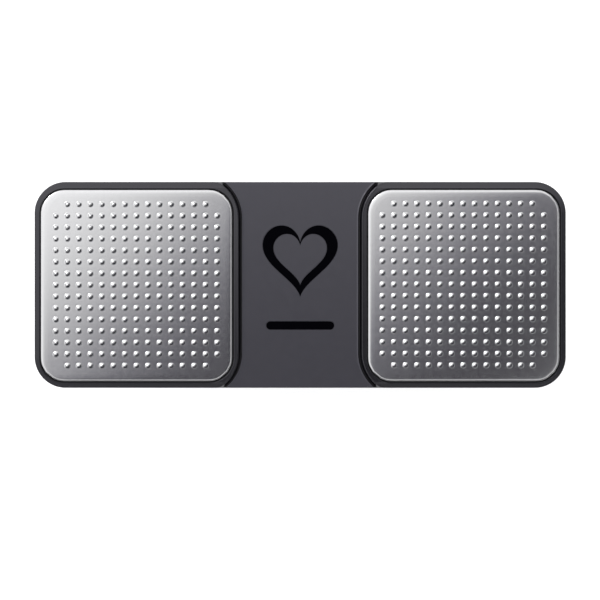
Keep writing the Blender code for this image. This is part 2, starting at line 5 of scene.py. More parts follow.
import bmesh
import bpy
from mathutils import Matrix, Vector


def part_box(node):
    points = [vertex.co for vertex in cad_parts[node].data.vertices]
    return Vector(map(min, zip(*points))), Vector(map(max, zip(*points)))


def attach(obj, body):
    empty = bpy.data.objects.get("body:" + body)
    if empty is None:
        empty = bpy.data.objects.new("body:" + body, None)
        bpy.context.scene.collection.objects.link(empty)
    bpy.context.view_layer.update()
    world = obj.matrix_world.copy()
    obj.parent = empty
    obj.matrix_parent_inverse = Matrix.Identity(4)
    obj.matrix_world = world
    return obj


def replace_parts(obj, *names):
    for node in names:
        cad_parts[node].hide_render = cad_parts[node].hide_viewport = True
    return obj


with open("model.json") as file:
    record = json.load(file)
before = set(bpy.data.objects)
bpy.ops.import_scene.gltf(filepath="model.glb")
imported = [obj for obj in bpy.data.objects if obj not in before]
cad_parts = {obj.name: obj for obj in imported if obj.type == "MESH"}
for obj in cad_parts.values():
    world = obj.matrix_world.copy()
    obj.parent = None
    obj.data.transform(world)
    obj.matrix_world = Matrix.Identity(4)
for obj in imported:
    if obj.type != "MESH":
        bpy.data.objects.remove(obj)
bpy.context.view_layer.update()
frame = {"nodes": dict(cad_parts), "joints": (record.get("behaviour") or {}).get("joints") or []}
MM = 0.001

front_low, front_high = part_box("front_housing")
pad_low, pad_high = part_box("right_electrode")
_, door_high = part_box("battery_door")
cell_low, cell_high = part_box("coin_cell_can")
cap_low, cap_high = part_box("coin_cell_cap")
seal_low, seal_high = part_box("coin_cell_seal")
adhesive_low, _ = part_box("right_electrode_adhesive")

# Plan of the case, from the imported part
HALF_X = front_high.x
HALF_Y = front_high.y
BODY_CORNER = 4.8 * MM
PAD_X = (pad_low.x + pad_high.x) / 2
PAD_HALF = (pad_high.x - pad_low.x) / 2
PAD_CORNER = 3.7 * MM
PAD_CENTRE = PAD_HALF - PAD_CORNER
# The plates' outlines stand a little below the middle
PAD_Y = -0.1 * MM
# The light comes from the top left
LIGHT_SIDE = Vector((-0.66, 0.75))

# Heights
CREST_TOP = front_high.z
PANEL_TOP = CREST_TOP - 0.27 * MM
WELL_LOW = adhesive_low.z - 0.03 * MM
CEILING = PANEL_TOP - 0.52 * MM
WALL = 1.0 * MM
FLOOR_TOP = 0.5 * MM
SEAM = 1.2 * MM
SEAM_STEP = 0.1 * MM
SEAM_CHAMFER = 0.07 * MM
PLATE_TOP = pad_high.z - 0.19 * MM
MARK_DEPTH = 0.06 * MM

# The rim round each pad: distance out from the pad, and height over the panel, in mm
RIM = ((0.12, -0.30), (0.135, 0.10), (0.15, 0.205), (0.18, 0.243), (0.24, 0.253), (0.38, 0.257),
       (0.55, 0.260), (0.68, 0.264), (0.75, 0.27), (0.79, 0.265), (0.84, 0.235), (0.90, 0.17),
       (1.00, 0.03), (1.08, -0.09), (1.16, -0.19), (1.22, -0.23), (1.34, -0.235), (1.37, -0.20),
       (1.395, -0.03), (1.415, 0.012), (1.44, 0.038), (1.48, 0.043), (1.54, 0.029),
       (1.62, 0.008), (1.68, 0.0), (1.90, 0.0))
RIM_REACH = 1.9 * MM
# The rim has its own darker plastic out to here
RIM_END = 1.43 * MM
RIM_CUTS = 3
# Where the rim's profile starts to follow its own outline, and over what run, in mm
FOLLOW_START = 0.15
FOLLOW_RUN = 0.45
# Where the rim's broad edge gives way to the panel's small one, and over what run, in mm
PANEL_START = 1.2
PANEL_RUN = 0.2
# On the lit side the rim's inner wall stands nearer to the plate: how far, how soon, and up to
# what distance out, in mm
LIT_SHIFT = 0.09
LIT_GAIN = 1.6
LIT_REACH = 0.6
# The channel's faces, given a painted shade, a black that reflects little: the gap round the
# plate, and the groove by the panel. Distances out and inside the case, and heights over the
# panel, in mm
GAP_OUT = 0.14
GAP_TOP = 0.19
GROOVE_TOP = -0.17
GROOVE_INSIDE = 0.01
# How far the case's top edge has dropped at each distance inside the outline, in mm: a broad
# slope on the rims, a small round on the panel
RIM_EDGE = ((0.0, 0.20), (0.004, 0.15), (0.012, 0.128), (0.03, 0.113), (0.06, 0.105),
            (0.12, 0.098), (0.2, 0.089), (0.4, 0.067), (0.6, 0.046), (0.75, 0.029), (0.84, 0.012),
            (0.92, 0.0))
PANEL_EDGE = ((0.0, 0.20), (0.004, 0.12), (0.012, 0.075), (0.03, 0.04), (0.06, 0.02),
              (0.12, 0.005), (0.20, 0.0))
# Rows of vertices close inside the case's edge, in mm, and what a row keeps clear of the next
EDGE_ROWS = (0.13, 0.09, 0.06, 0.04, 0.025, 0.014, 0.007, 0.003)
ROW_SPACE = 0.004 * MM
# What lies less than this inside the case's edge is on it
ON_EDGE = 0.002 * MM
# On the narrow sides this much of the profile, in mm, is drawn together over the reach there
SIDE_RIM = 0.80
SIDE_REACH = 1.06 * MM
# The rim's inner end is rounder than the pad: its size at the panel's edge, in mm
END_OUT = 1.3
END_HALF_Y = 17.36
END_CORNER = 7.0
# How finely the front is cut: rays at a plate's corner, from the case's edge to a corner's end,
# and along a plate's side, and columns across the panel
CORNER_RAYS = 24
FAN_RAYS = 12
SIDE_RAYS = 28
PANEL_COLUMNS = 40
# Distances inside the case's edge at which rays meet the panel, in mm
NEAR_EDGE = (0, 0.01, 0.03, 0.06, 0.1, 0.15, 0.2, 0.25, 0.3, 0.36, 0.5, 0.8, 1.2)
PANEL_SHADED_CROWN = 0.6 * MM
# Lengths under this count as nothing
TINY = 1e-9

# Edges over these angles stay sharp, in degrees
SHARP = 35
FRONT_SHARP = 60
PLATE_SHARP = 70


def smooth_between(table, x):
    """A smooth curve through a table's points (monotone cubic)."""
    if x <= table[0][0]:
        return table[0][1]
    if x >= table[-1][0]:
        return table[-1][1]
    slopes = [(b[1] - a[1]) / (b[0] - a[0]) for a, b in zip(table, table[1:])]
    tangents = [slopes[0]]
    for before, after in zip(slopes, slopes[1:]):
        same = before * after > 0
        tangents.append(2 * before * after / (before + after) if same else 0)
    tangents.append(slopes[-1])
    i = max(k for k in range(len(table) - 1) if table[k][0] <= x)
    (x0, y0), (x1, y1) = table[i], table[i + 1]
    t, run = (x - x0) / (x1 - x0), x1 - x0
    return ((2 * t ** 3 - 3 * t * t + 1) * y0 + (t ** 3 - 2 * t * t + t) * run * tangents[i]
            + (3 * t * t - 2 * t ** 3) * y1 + (t ** 3 - t * t) * run * tangents[i + 1])


def depth_inside(x, y, half_x=HALF_X, half_y=HALF_Y, corner=BODY_CORNER):
    """How far a point lies inside a rounded rectangle."""
    across, up = abs(x) - half_x + corner, abs(y) - half_y + corner
    outside = math.hypot(max(across, 0), max(up, 0))
    return corner - outside - min(max(across, up), 0)


def outward(x, y, half_x=HALF_X, half_y=HALF_Y, corner=BODY_CORNER):
    """The outward direction at a rounded rectangle's edge."""
    across, up = abs(x) - half_x + corner, abs(y) - half_y + corner
    if across > 0 and up > 0:
        away = Vector((math.copysign(across, x), math.copysign(up, y)))
    elif across > up:
        away = Vector((math.copysign(1, x), 0))
    else:
        away = Vector((0, math.copysign(1, y)))
    return away.normalized()


def object_of(name, bm, material, body="housing", smooth=True, sharp=None):
    """A piece from its mesh, riding on a body, with edges over an angle kept sharp."""
    bmesh.ops.recalc_face_normals(bm, faces=bm.faces)
    mesh = bpy.data.meshes.new(name)
    bm.to_mesh(mesh)
    bm.free()
    mesh.materials.append(material)
    made = bpy.data.objects.new(name, mesh)
    bpy.context.scene.collection.objects.link(made)
    if smooth:
        mesh.shade_smooth()
        if sharp:
            mesh.set_sharp_from_angle(angle=math.radians(sharp))
    if body:
        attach(made, body)
    return made


def crown_shading(made, rise):
    """Shades a piece as if its surface were lifted by a smooth crown that is too slight to
    model, so that a nearly flat face catches the light as a real moulding or pressing does."""
    mesh = made.data
    real = [v.co.copy() for v in mesh.vertices]
    for v in mesh.vertices:
        v.co.z += rise(v.co.x, v.co.y)
    mesh.update()
    normals = [tuple(n.vector) for n in mesh.corner_normals]
    for v, co in zip(mesh.vertices, real):
        v.co = co
    mesh.update()
    mesh.normals_split_custom_set(normals)
    return made


def even_shading(made):
    """Lets large flat faces keep their own direction in a piece's smooth shading."""
    step = made.modifiers.new("even", "WEIGHTED_NORMAL")
    step.keep_sharp, step.weight = True, 90
    graph = bpy.context.evaluated_depsgraph_get()
    mesh = bpy.data.meshes.new_from_object(made.evaluated_get(graph), depsgraph=graph,
                                           preserve_all_data_layers=True)
    made.modifiers.clear()
    made.data = mesh
    return made


def rim_out(x, y, stretch=SIDE_RIM * MM / SIDE_REACH):
    """How far out along the rim's profile a point lies, in mm. The profile is drawn together
    on the narrow sides, and follows the rim's own rounder outline at its inner end."""
    along, y = abs(x) - PAD_X, y - PAD_Y
    out = -depth_inside(along, y, PAD_HALF, PAD_HALF, PAD_CORNER) / MM
    share = min(max((out - FOLLOW_START) / FOLLOW_RUN, 0), 1)
    share *= share * (3 - 2 * share)
    wide = out * stretch
    if along < 0:
        end = depth_inside(along, y, PAD_HALF + END_OUT * MM, END_HALF_Y * MM, END_CORNER * MM)
        wide = max(wide, END_OUT - end / MM)
    return out + (wide - out) * share


def rim_height(x, y, *stretch):
    """The front's height at a point: the rim's profile, less the drop at the case's edge."""
    out = rim_out(x, y, *stretch)
    inside = max(depth_inside(x, y), 0) / MM
    panel = min(max((out - PANEL_START) / PANEL_RUN, 0), 1)
    drop = (smooth_between(RIM_EDGE, inside) * (1 - panel)
            + smooth_between(PANEL_EDGE, inside) * panel)
    return PANEL_TOP + (smooth_between(RIM, out) - drop) * MM


def rim_rays():
    """Rays out from the right pad's outline: where each starts, its direction, and how far
    it runs to the case's outline or to the panel. Rays that end on the panel are marked."""
    def fan(side_y):
        """The angles at a corner next to the panel, and the one that meets the case's edge."""
        room = HALF_Y - PAD_CENTRE - side_y * PAD_Y
        meet, *near = [math.degrees(math.asin((room - k * MM) / (PAD_CORNER + RIM_REACH)))
                       for k in NEAR_EDGE]
        first = [90 - (90 - meet) * k / FAN_RAYS for k in range(FAN_RAYS)]
        far = [near[-1] * (1 - k / FAN_RAYS) for k in range(1, FAN_RAYS + 1)]
        return first + [meet] + near + far, meet

    even = [k * 90 / CORNER_RAYS for k in range(CORNER_RAYS + 1)]
    (upper, meet_upper), (lower, meet_lower) = fan(1), fan(-1)
    corners = ((1, 1, even, 0), (-1, 1, [180 - a for a in upper], meet_upper),
               (-1, -1, [180 + a for a in reversed(lower)], meet_lower),
               (1, -1, [270 + a for a in even], 0))
    rays = []
    for side_x, side_y, angles, meet in corners:
        if (side_x, side_y) == (-1, -1):
            for k in range(1, SIDE_RAYS):
                y = PAD_Y + PAD_CENTRE * (1 - 2 * k / SIDE_RAYS)
                rays.append((Vector((PAD_X - PAD_HALF, y)), Vector((-1, 0)), RIM_REACH, True))
        for angle in angles:
            way = Vector((math.cos(math.radians(angle)), math.sin(math.radians(angle))))
            centre = Vector((PAD_X + side_x * PAD_CENTRE, PAD_Y + side_y * PAD_CENTRE))
            start = centre + way * PAD_CORNER
            low, high = 0.0, RIM_REACH
            if depth_inside(*(start + way * high)) < -TINY:
                for _ in range(40):
                    middle = (low + high) / 2
                    if depth_inside(*(start + way * middle)) > 0:
                        low = middle
                    else:
                        high = middle
                reach, on_panel = low, False
            else:
                reach, on_panel = high, side_x < 0 and abs(180 - angle) <= meet + 1e-6
            rays.append((start, way, reach, on_panel))
    return rays


def loop_points(inset, half_x=HALF_X, half_y=HALF_Y, corner=BODY_CORNER, steps=20, middle=0.0):
    """The points of a rounded rectangle drawn in by an inset."""
    half_x, half_y, corner = half_x - inset, half_y - inset, max(corner - inset, 0.05 * MM)
    points = []
    for k, (sx, sy) in enumerate(((1, 1), (-1, 1), (-1, -1), (1, -1))):
        for i in range(steps + 1):
            a = math.radians(90 * (k + i / steps))
            points.append((middle + sx * (half_x - corner) + corner * math.cos(a),
                           sy * (half_y - corner) + corner * math.sin(a)))
    return points


def banded(bm, first, second):
    """A closed band of faces between two loops of vertices."""
    for k in range(len(first)):
        n = (k + 1) % len(first)
        bm.faces.new((first[k], first[n], second[n], second[k]))


def lofted(levels, **outline):
    """A closed form through rounded outlines: a list of (inset, height)."""
    bm = bmesh.new()
    loops = [[bm.verts.new((x, y, z)) for x, y in loop_points(inset, **outline)]
             for inset, z in levels]
    for a, b in zip(loops, loops[1:]):
        banded(bm, a, b)
    bm.faces.new(loops[0])
    bm.faces.new(loops[-1])
    bmesh.ops.recalc_face_normals(bm, faces=bm.faces)
    return bm


def scratch(bm):
    """A plain object for a Boolean."""
    mesh = bpy.data.meshes.new("scratch")
    bm.to_mesh(mesh)
    bm.free()
    made = bpy.data.objects.new("scratch", mesh)
    bpy.context.scene.collection.objects.link(made)
    return made


def carved(base, cuts, joins=()):
    """The first form less the cuts and with the joins, as a new bmesh."""
    target = scratch(base)
    tools = []
    for operation, forms in (("DIFFERENCE", cuts), ("UNION", joins)):
        for form in forms:
            tool = scratch(form)
            tools.append(tool)
            step = target.modifiers.new("step", "BOOLEAN")
            step.operation, step.object, step.solver = operation, tool, "EXACT"
    graph = bpy.context.evaluated_depsgraph_get()
    mesh = bpy.data.meshes.new_from_object(target.evaluated_get(graph))
    for old in (target, *tools):
        bpy.data.objects.remove(old, do_unlink=True)
    bm = bmesh.new()
    bm.from_mesh(mesh)
    bpy.data.meshes.remove(mesh)
    return bm


# The marks in the panel, a heart's outline and a bar. Their recesses widen up to the mouth
HEART_POINTS = 96
HEART_OUTER = 0.36 * MM
HEART_INNER = 0.262 * MM
HEART_SLOPE = 0.005 * MM
HEART_STRETCH = 1.06
HEART_Y = 4.6 * MM
BAR_HALF_X = 5.2 * MM
BAR_HALF_Y = 0.6 * MM
BAR_SLOPE = 0.07 * MM
BAR_Y = -6.26 * MM
# How far under the panel's top an inlay starts, and how far it stands up from its recess's floor
INLAY_LOW = 0.15 * MM
INLAY_RISE = 0.01 * MM


def heart(scale):
    """The outline of a plain heart."""
    points = []
    for k in range(HEART_POINTS):
        t = (k + 0.5) / HEART_POINTS * math.tau
        points.append((16 * math.sin(t) ** 3 * scale,
                       (13 * math.cos(t) - 5 * math.cos(2 * t) - 2 * math.cos(3 * t)
                        - math.cos(4 * t)) * HEART_STRETCH * scale + HEART_Y))
    return points


def pill(grown_by=0.0):
    """The outline of a round-ended bar."""
    half_x, half_y = BAR_HALF_X + grown_by, BAR_HALF_Y + grown_by
    return [(x, y + BAR_Y) for x, y in loop_points(0, half_x, half_y, half_y * 0.99, steps=10)]


def mark_form(levels):
    """A form through levels, each a height and one or two outlines, the second a hole."""
    bm = bmesh.new()
    stacks = []
    for number in range(len(levels[0][1])):
        loops = [[bm.verts.new((x, y, z)) for x, y in outlines[number]] for z, outlines in levels]
        stacks.append(loops)
        for a, b in zip(loops, loops[1:]):
            banded(bm, a, b)
    for end in (0, -1):
        if len(stacks) == 1:
            bm.faces.new(stacks[0][end])
        else:
            banded(bm, stacks[0][end], stacks[1][end])
    bmesh.ops.recalc_face_normals(bm, faces=bm.faces)
    return bm


def panel_recess(floor, mouth):
    """What a mark's recess takes out of the panel: its floor's outlines and its mouth's."""
    return mark_form([(PANEL_TOP - MARK_DEPTH, floor), (PANEL_TOP, mouth),
                      (PANEL_TOP + 0.5 * MM, mouth)])


PANEL_MARKS = {
    "panel_heart": ((heart(HEART_OUTER), heart(HEART_INNER)),
                    (heart(HEART_OUTER + HEART_SLOPE), heart(HEART_INNER - HEART_SLOPE))),
    "panel_bar": ((pill(),), (pill(BAR_SLOPE),))}


def front_shell(material, rim_material, channel_shade_material):
    """The front moulding: a rim round each pad, the panel between them, the wells and walls."""
    bm = bmesh.new()
    rows = [(a + (b - a) * k / RIM_CUTS) * MM for (a, _), (b, _) in zip(RIM, RIM[1:])
            for k in range(RIM_CUTS)] + [RIM_REACH]
    rays = rim_rays()
    ends = {}
    for side in (1, -1):
        columns = []
        for start, way, reach, on_panel in rays:
            column = []
            stretch = SIDE_RIM * MM / min(reach, SIDE_REACH)
            outer = [reach - r * MM for r in EDGE_ROWS] if reach < RIM_REACH - TINY else []
            last = (outer + [reach])[0]
            close = max(Vector((side * way.x, way.y)).dot(LIGHT_SIDE), 0)
            for d in [r for r in rows if r < last - ROW_SPACE] + outer + [reach]:
                at = start + way * d
                height = rim_height(at.x, at.y, stretch)
                at -= (way * LIT_SHIFT * MM * min(close * LIT_GAIN, 1)
                       * max(1 - d / (LIT_REACH * MM), 0))
                column.append(bm.verts.new((side * at.x, at.y, height)))
            columns.append(column)
        for a, b in zip(columns, columns[1:] + columns[:1]):
            for k in range(max(len(a), len(b)) - 1):
                corners = [a[min(k, len(a) - 1)], a[min(k + 1, len(a) - 1)],
                           b[min(k + 1, len(b) - 1)], b[min(k, len(b) - 1)]]
                corners = list(dict.fromkeys(corners))
                if len(corners) > 2:
                    bm.faces.new(corners)
        ends[side] = [c[-1] for c, ray in zip(columns, rays) if ray[3]]
    lines = []
    for left, right in zip(ends[-1], ends[1]):
        line = [left]
        for k in range(1, PANEL_COLUMNS):
            x = left.co.x + (right.co.x - left.co.x) * k / PANEL_COLUMNS
            line.append(bm.verts.new((x, left.co.y, rim_height(x, left.co.y))))
        lines.append(line + [right])
    for a, b in zip(lines, lines[1:]):
        for k in range(PANEL_COLUMNS):
            bm.faces.new((a[k], a[k + 1], b[k + 1], b[k]))
    open_edges = [e for e in bm.edges if e.is_boundary]
    rim_edges = [e for e in open_edges
                 if all(depth_inside(*v.co.xy) < ON_EDGE for v in e.verts)]
    well_edges = [e for e in open_edges if e not in set(rim_edges)]

    def grown(edges, inward, height):
        """The edges drawn out into a new row of faces, up or down to a height."""
        made = bmesh.ops.extrude_edge_only(bm, edges=edges)["geom"]
        for v in (g for g in made if isinstance(g, bmesh.types.BMVert)):
            shift = outward(*v.co.xy) * inward
            v.co = (v.co.x - shift.x, v.co.y - shift.y, height)
        return [g for g in made if isinstance(g, bmesh.types.BMEdge)]

    wall = grown(rim_edges, 0, front_low.z + SEAM_STEP)
    wall = grown(wall, SEAM_CHAMFER, front_low.z)
    wall = grown(wall, WALL - SEAM_CHAMFER, front_low.z)
    wall = grown(wall, 0, CEILING)
    bmesh.ops.holes_fill(bm, edges=wall)
    well = grown(well_edges, 0, WELL_LOW)
    bmesh.ops.holes_fill(bm, edges=well)
    bm = carved(bm, [panel_recess(*marks) for marks in PANEL_MARKS.values()])
    made = object_of("front_shell", bm, material, sharp=FRONT_SHARP)
    made.data.materials.append(rim_material)
    made.data.materials.append(channel_shade_material)
    for face in made.data.polygons:
        x, y, z = face.center
        out = rim_out(x, y) * MM
        if z > CEILING and out < RIM_END:
            # Faces deep in the gap round a plate and in the groove take the painted shade material
            low = (out < GAP_OUT * MM and z < PANEL_TOP + GAP_TOP * MM
                   or z < PANEL_TOP + GROOVE_TOP * MM
                   and depth_inside(x, y) > GROOVE_INSIDE * MM)
            face.material_index = 2 if low else 1
    crown_shading(made, lambda x, y: -PANEL_SHADED_CROWN * (y / HALF_Y) ** 2)
    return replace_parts(made, "front_housing")


# Height of a dome at each distance from its middle, in mm
DOME = ((0.0, 0.1881), (0.041, 0.1851), (0.082, 0.1769), (0.123, 0.1639), (0.164, 0.1475),
        (0.205, 0.1282), (0.257, 0.1011), (0.307, 0.0737), (0.357, 0.0463), (0.407, 0.0198),
        (0.431, 0.0087), (0.456, 0.0024), (0.484, 0.0), (0.522, -0.0014), (0.58, -0.0014),
        (0.636, -0.0005), (0.72, 0.0))
DOME_PITCH = 1.78 * MM
DOMES = 15
CELL_CUTS = 4
CROWN = 0.03 * MM
# The crown and the tilt of each plate that show in its shading alone
SHADED_CROWN = 0.38 * MM
PLATE_TILTS = {-1: 0.005, 1: 0.0235}
# How far each plate's domes stand from its middle
DOME_SHIFTS = {-1: (0.0, -0.01 * MM), 1: (-0.095 * MM, 0.07 * MM)}

# The pressed edge of a plate: inset from its outline, and share of the whole drop
ROLL = ((1.2, 0.0), (1.1, 0.0), (0.9, 0.004), (0.7, 0.01), (0.55, 0.016), (0.46, 0.024),
        (0.39, 0.034), (0.34, 0.046), (0.30, 0.062), (0.265, 0.084), (0.23, 0.116), (0.195, 0.152),
        (0.16, 0.20), (0.13, 0.265), (0.105, 0.40), (0.085, 0.65), (0.065, 1.0))
ROLL_RUN = ROLL[0][0]
# On the lit side the edge is wider, and set out a little, in mm
ROLL_WIDER = 0.9
ROLL_SHIFT = 0.08
ROLL_GAIN = 1.5


def plate_height(x, y):
    """The plate's crown at a point from its middle."""
    return PLATE_TOP - CROWN * (x * x + y * y) / PAD_HALF ** 2


def plate(name, side, node, material):
    """A crowned steel plate with its embossed domes and a rolled edge."""
    bm = bmesh.new()
    found = {}
    centre = side * PAD_X

    def vertex(x, y):
        """The vertex at a point of the grid, made once."""
        key = (round(x * 1e7), round(y * 1e7))
        if key not in found:
            found[key] = bm.verts.new((centre + x, y, plate_height(x, y)))
        return found[key]

    half = DOMES * DOME_PITCH / 2
    step = DOME_PITCH / CELL_CUTS
    last = DOMES - 1
    for row in range(DOMES):
        for column in range(DOMES):
            x0, y0 = -half + column * DOME_PITCH, -half + row * DOME_PITCH
            if row in (0, last) and column in (0, last):
                continue
            square = ([(k * step, 0) for k in range(CELL_CUTS)]
                      + [(DOME_PITCH, k * step) for k in range(CELL_CUTS)]
                      + [(DOME_PITCH - k * step, DOME_PITCH) for k in range(CELL_CUTS)]
                      + [(0, DOME_PITCH - k * step) for k in range(CELL_CUTS)])
            outer = [vertex(x0 + x, y0 + y) for x, y in square]
            cx = x0 + DOME_PITCH / 2 + DOME_SHIFTS[side][0]
            cy = y0 + DOME_PITCH / 2 + DOME_SHIFTS[side][1]
            ways = [Vector((x0 + x - cx, y0 + y - cy)).normalized() for x, y in square]
            for radius, rise in reversed(DOME[1:]):
                inner = []
                for way in ways:
                    x, y = cx + way.x * radius * MM, cy + way.y * radius * MM
                    inner.append(bm.verts.new((centre + x, y, plate_height(x, y) + rise * MM)))
                banded(bm, outer, inner)
                outer = inner
            top = bm.verts.new((centre + cx, cy, plate_height(cx, cy) + DOME[0][1] * MM))
            for k in range(len(outer)):
                bm.faces.new((outer[k], outer[(k + 1) % len(outer)], top))
    edges = [e for e in bm.edges if e.is_boundary]
    for inset, share in ROLL:
        made = bmesh.ops.extrude_edge_only(bm, edges=edges)["geom"]
        edges = [g for g in made if isinstance(g, bmesh.types.BMEdge)]
        for v in (g for g in made if isinstance(g, bmesh.types.BMVert)):
            x, y = v.co.x - centre, v.co.y
            way = outward(x, y - PAD_Y, PAD_HALF, PAD_HALF, PAD_CORNER)
            lit = max(way.dot(LIGHT_SIDE), 0) * (1 - inset / ROLL_RUN)
            drawn = inset * (1 + ROLL_WIDER * lit) - ROLL_SHIFT * min(ROLL_GAIN * lit, 1)
            shift = depth_inside(x, y - PAD_Y, PAD_HALF, PAD_HALF, PAD_CORNER) - drawn * MM
            x, y = x + way.x * shift, y + way.y * shift
            top = plate_height(x, y)
            v.co = (centre + x, y, top - share * (top - pad_low.z))
    bmesh.ops.holes_fill(bm, edges=edges)
    made = object_of(name, bm, material, sharp=PLATE_SHARP)
    tilt = PLATE_TILTS[side]
    crown_shading(made, lambda x, y: tilt * (y - (x - centre))
                  - SHADED_CROWN * ((x - centre) ** 2 + y * y) / PAD_HALF ** 2)
    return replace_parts(made, node)


def quarter(radius, steps=8):
    """The levels of a rounded lower edge, from its flat up to the full outline."""
    turns = [k / steps * math.pi / 2 for k in range(steps + 1)]
    return [(radius * (1 - math.sin(a)), radius * (1 - math.cos(a))) for a in turns]


DOOR_X = PAD_X
DOOR_HALF = door_high.x - DOOR_X
DOOR_CORNER = 2.4 * MM
DOOR_GAP = 0.1 * MM
MOUTH_ROUND = 0.08 * MM
BACK_EDGE = 0.6 * MM
DOOR_EDGE = 0.12 * MM
TURN_STEPS = 96
HINGE_X = frame["joints"][0]["pos_m"][0]


def back_shell(material):
    """The back moulding with its door opening, whose mouth is softly rounded."""
    levels = quarter(BACK_EDGE) + [(0, SEAM - SEAM_STEP), (SEAM_CHAMFER, SEAM)]
    half = DOOR_HALF + DOOR_GAP
    opening = dict(half_x=half, half_y=half, corner=DOOR_CORNER + DOOR_GAP, middle=DOOR_X)
    mouth = [(-MOUTH_ROUND - 1 * MM, -1 * MM), (-MOUTH_ROUND, -0.0001 * MM),
             (-0.4 * MOUTH_ROUND, 0.25 * MOUTH_ROUND), (0, MOUTH_ROUND),
             (0, FLOOR_TOP + 0.2 * MM)]
    cavity = [(WALL, FLOOR_TOP), (WALL, 3 * MM)]
    notch = dict(half_x=0.7 * MM, half_y=2.5 * MM, corner=0.35 * MM, middle=DOOR_X + half)
    bm = carved(lofted(levels), [lofted(cavity), lofted(mouth, **opening),
                                 lofted([(-0.1 * MM, -1 * MM), (0, 0.25 * MM)], **notch)])
    made = even_shading(object_of("back_shell", bm, material, sharp=SHARP))
    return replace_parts(made, "back_cover")


LUG_Y = 6.0 * MM
LUG_HALF_WIDTH = 1.5 * MM


def hooked_lug(y):
    """A hinge lug: a bent hook, swept across its width."""
    over = HINGE_X - 0.8 * MM
    neck = HINGE_X + 0.2 * MM
    low, high = FLOOR_TOP + 0.05 * MM, FLOOR_TOP + 0.45 * MM
    outline = [(neck, 0.2 * MM), (neck + 0.8 * MM, 0.2 * MM), (neck + 0.8 * MM, high - 0.2 * MM),
               (neck + 0.6 * MM, high), (over + 0.1 * MM, high), (over, high - 0.1 * MM),
               (over, low + 0.06 * MM), (over + 0.06 * MM, low), (neck, low)]
    bm = bmesh.new()
    sides = [[bm.verts.new((x, y + s * LUG_HALF_WIDTH, z)) for x, z in outline]
             for s in (-1, 1)]
    banded(bm, *sides)
    for side in sides:
        bm.faces.new(side)
    bmesh.ops.recalc_face_normals(bm, faces=bm.faces)
    return bm


def door_shell(material):
    """The battery door with softened edges, its finger scoop and its two hinge lugs."""
    plan = dict(half_x=DOOR_HALF, half_y=DOOR_HALF, corner=DOOR_CORNER, middle=DOOR_X)
    levels = quarter(DOOR_EDGE, steps=4) + [(0, FLOOR_TOP)]
    scoop = dict(half_x=0.8 * MM, half_y=4.0 * MM, corner=0.55 * MM,
                 middle=DOOR_X + DOOR_HALF - 1.6 * MM)
    hollow = [(-0.3 * MM, -0.3 * MM), (0, 0.0), (0.15 * MM, 0.12 * MM), (0.4 * MM, 0.2 * MM)]
    bm = carved(lofted(levels, **plan), [lofted(hollow, **scoop)],
                [hooked_lug(-LUG_Y), hooked_lug(LUG_Y)])
    made = even_shading(object_of("door_shell", bm, material, "door", sharp=SHARP))
    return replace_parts(made, "battery_door")


def turned(name, profile, centre, material, closed=False):
    """A round piece: a profile of radius and height turned about an upright axis."""
    bm = bmesh.new()
    steps = TURN_STEPS
    turns = [Vector((math.cos(k / steps * math.tau), math.sin(k / steps * math.tau)))
             for k in range(steps)]
    loops = []
    for radius, z in profile:
        if radius < 1e-7:
            loops.append([bm.verts.new((centre[0], centre[1], z))] * steps)
        else:
            loops.append([bm.verts.new((centre[0] + t.x * radius, centre[1] + t.y * radius, z))
                          for t in turns])
    for a, b in zip(loops, loops[1:] + loops[:1] if closed else loops[1:]):
        for k in range(steps):
            n = (k + 1) % steps
            corners = list(dict.fromkeys((a[k], a[n], b[n], b[k])))
            if len(corners) > 2:
                bm.faces.new(corners)
    return object_of(name, bm, material, sharp=SHARP)


# Materials

def nodes_of(name):
    """A new material with its node tree and its main shader."""
    made = bpy.data.materials.new(name)
    made.use_nodes = True
    tree = made.node_tree
    return made, tree, tree.nodes["Principled BSDF"]


def grain(tree, scale, detail=2.0, stretch=(1, 1, 1)):
    """Noise in the object's own coordinates."""
    place = tree.nodes.new("ShaderNodeTexCoord")
    spread = tree.nodes.new("ShaderNodeMapping")
    spread.inputs["Scale"].default_value = stretch
    noise = tree.nodes.new("ShaderNodeTexNoise")
    noise.inputs["Scale"].default_value = scale
    noise.inputs["Detail"].default_value = detail
    tree.links.new(place.outputs["Object"], spread.inputs["Vector"])
    tree.links.new(spread.outputs["Vector"], noise.inputs["Vector"])
    return noise.outputs["Fac"]


def between(tree, factor, low, high):
    """A number that runs from low to high with a factor."""
    node = tree.nodes.new("ShaderNodeMapRange")
    node.inputs["To Min"].default_value = low
    node.inputs["To Max"].default_value = high
    tree.links.new(factor, node.inputs["Value"])
    return node.outputs["Result"]


def blended(tree, factor, first, second):
    """A colour between two, by a factor."""
    node = tree.nodes.new("ShaderNodeMix")
    node.data_type = "RGBA"
    node.inputs["A"].default_value = (*first, 1)
    node.inputs["B"].default_value = (*second, 1)
    tree.links.new(factor, node.inputs["Factor"])
    return node.outputs["Result"]


def worked(tree, operation, *values):
    """A number worked out from others."""
    node = tree.nodes.new("ShaderNodeMath")
    node.operation = operation
    for held, end in zip(values, node.inputs):
        if isinstance(held, float):
            end.default_value = held
        else:
            tree.links.new(held, end)
    return node.outputs[0]


def bumped(tree, shader, height, strength, distance):
    """Gives a shader relief from a height."""
    node = tree.nodes.new("ShaderNodeBump")
    node.inputs["Strength"].default_value = strength
    node.inputs["Distance"].default_value = distance
    tree.links.new(height, node.inputs["Height"])
    tree.links.new(node.outputs["Normal"], shader.inputs["Normal"])


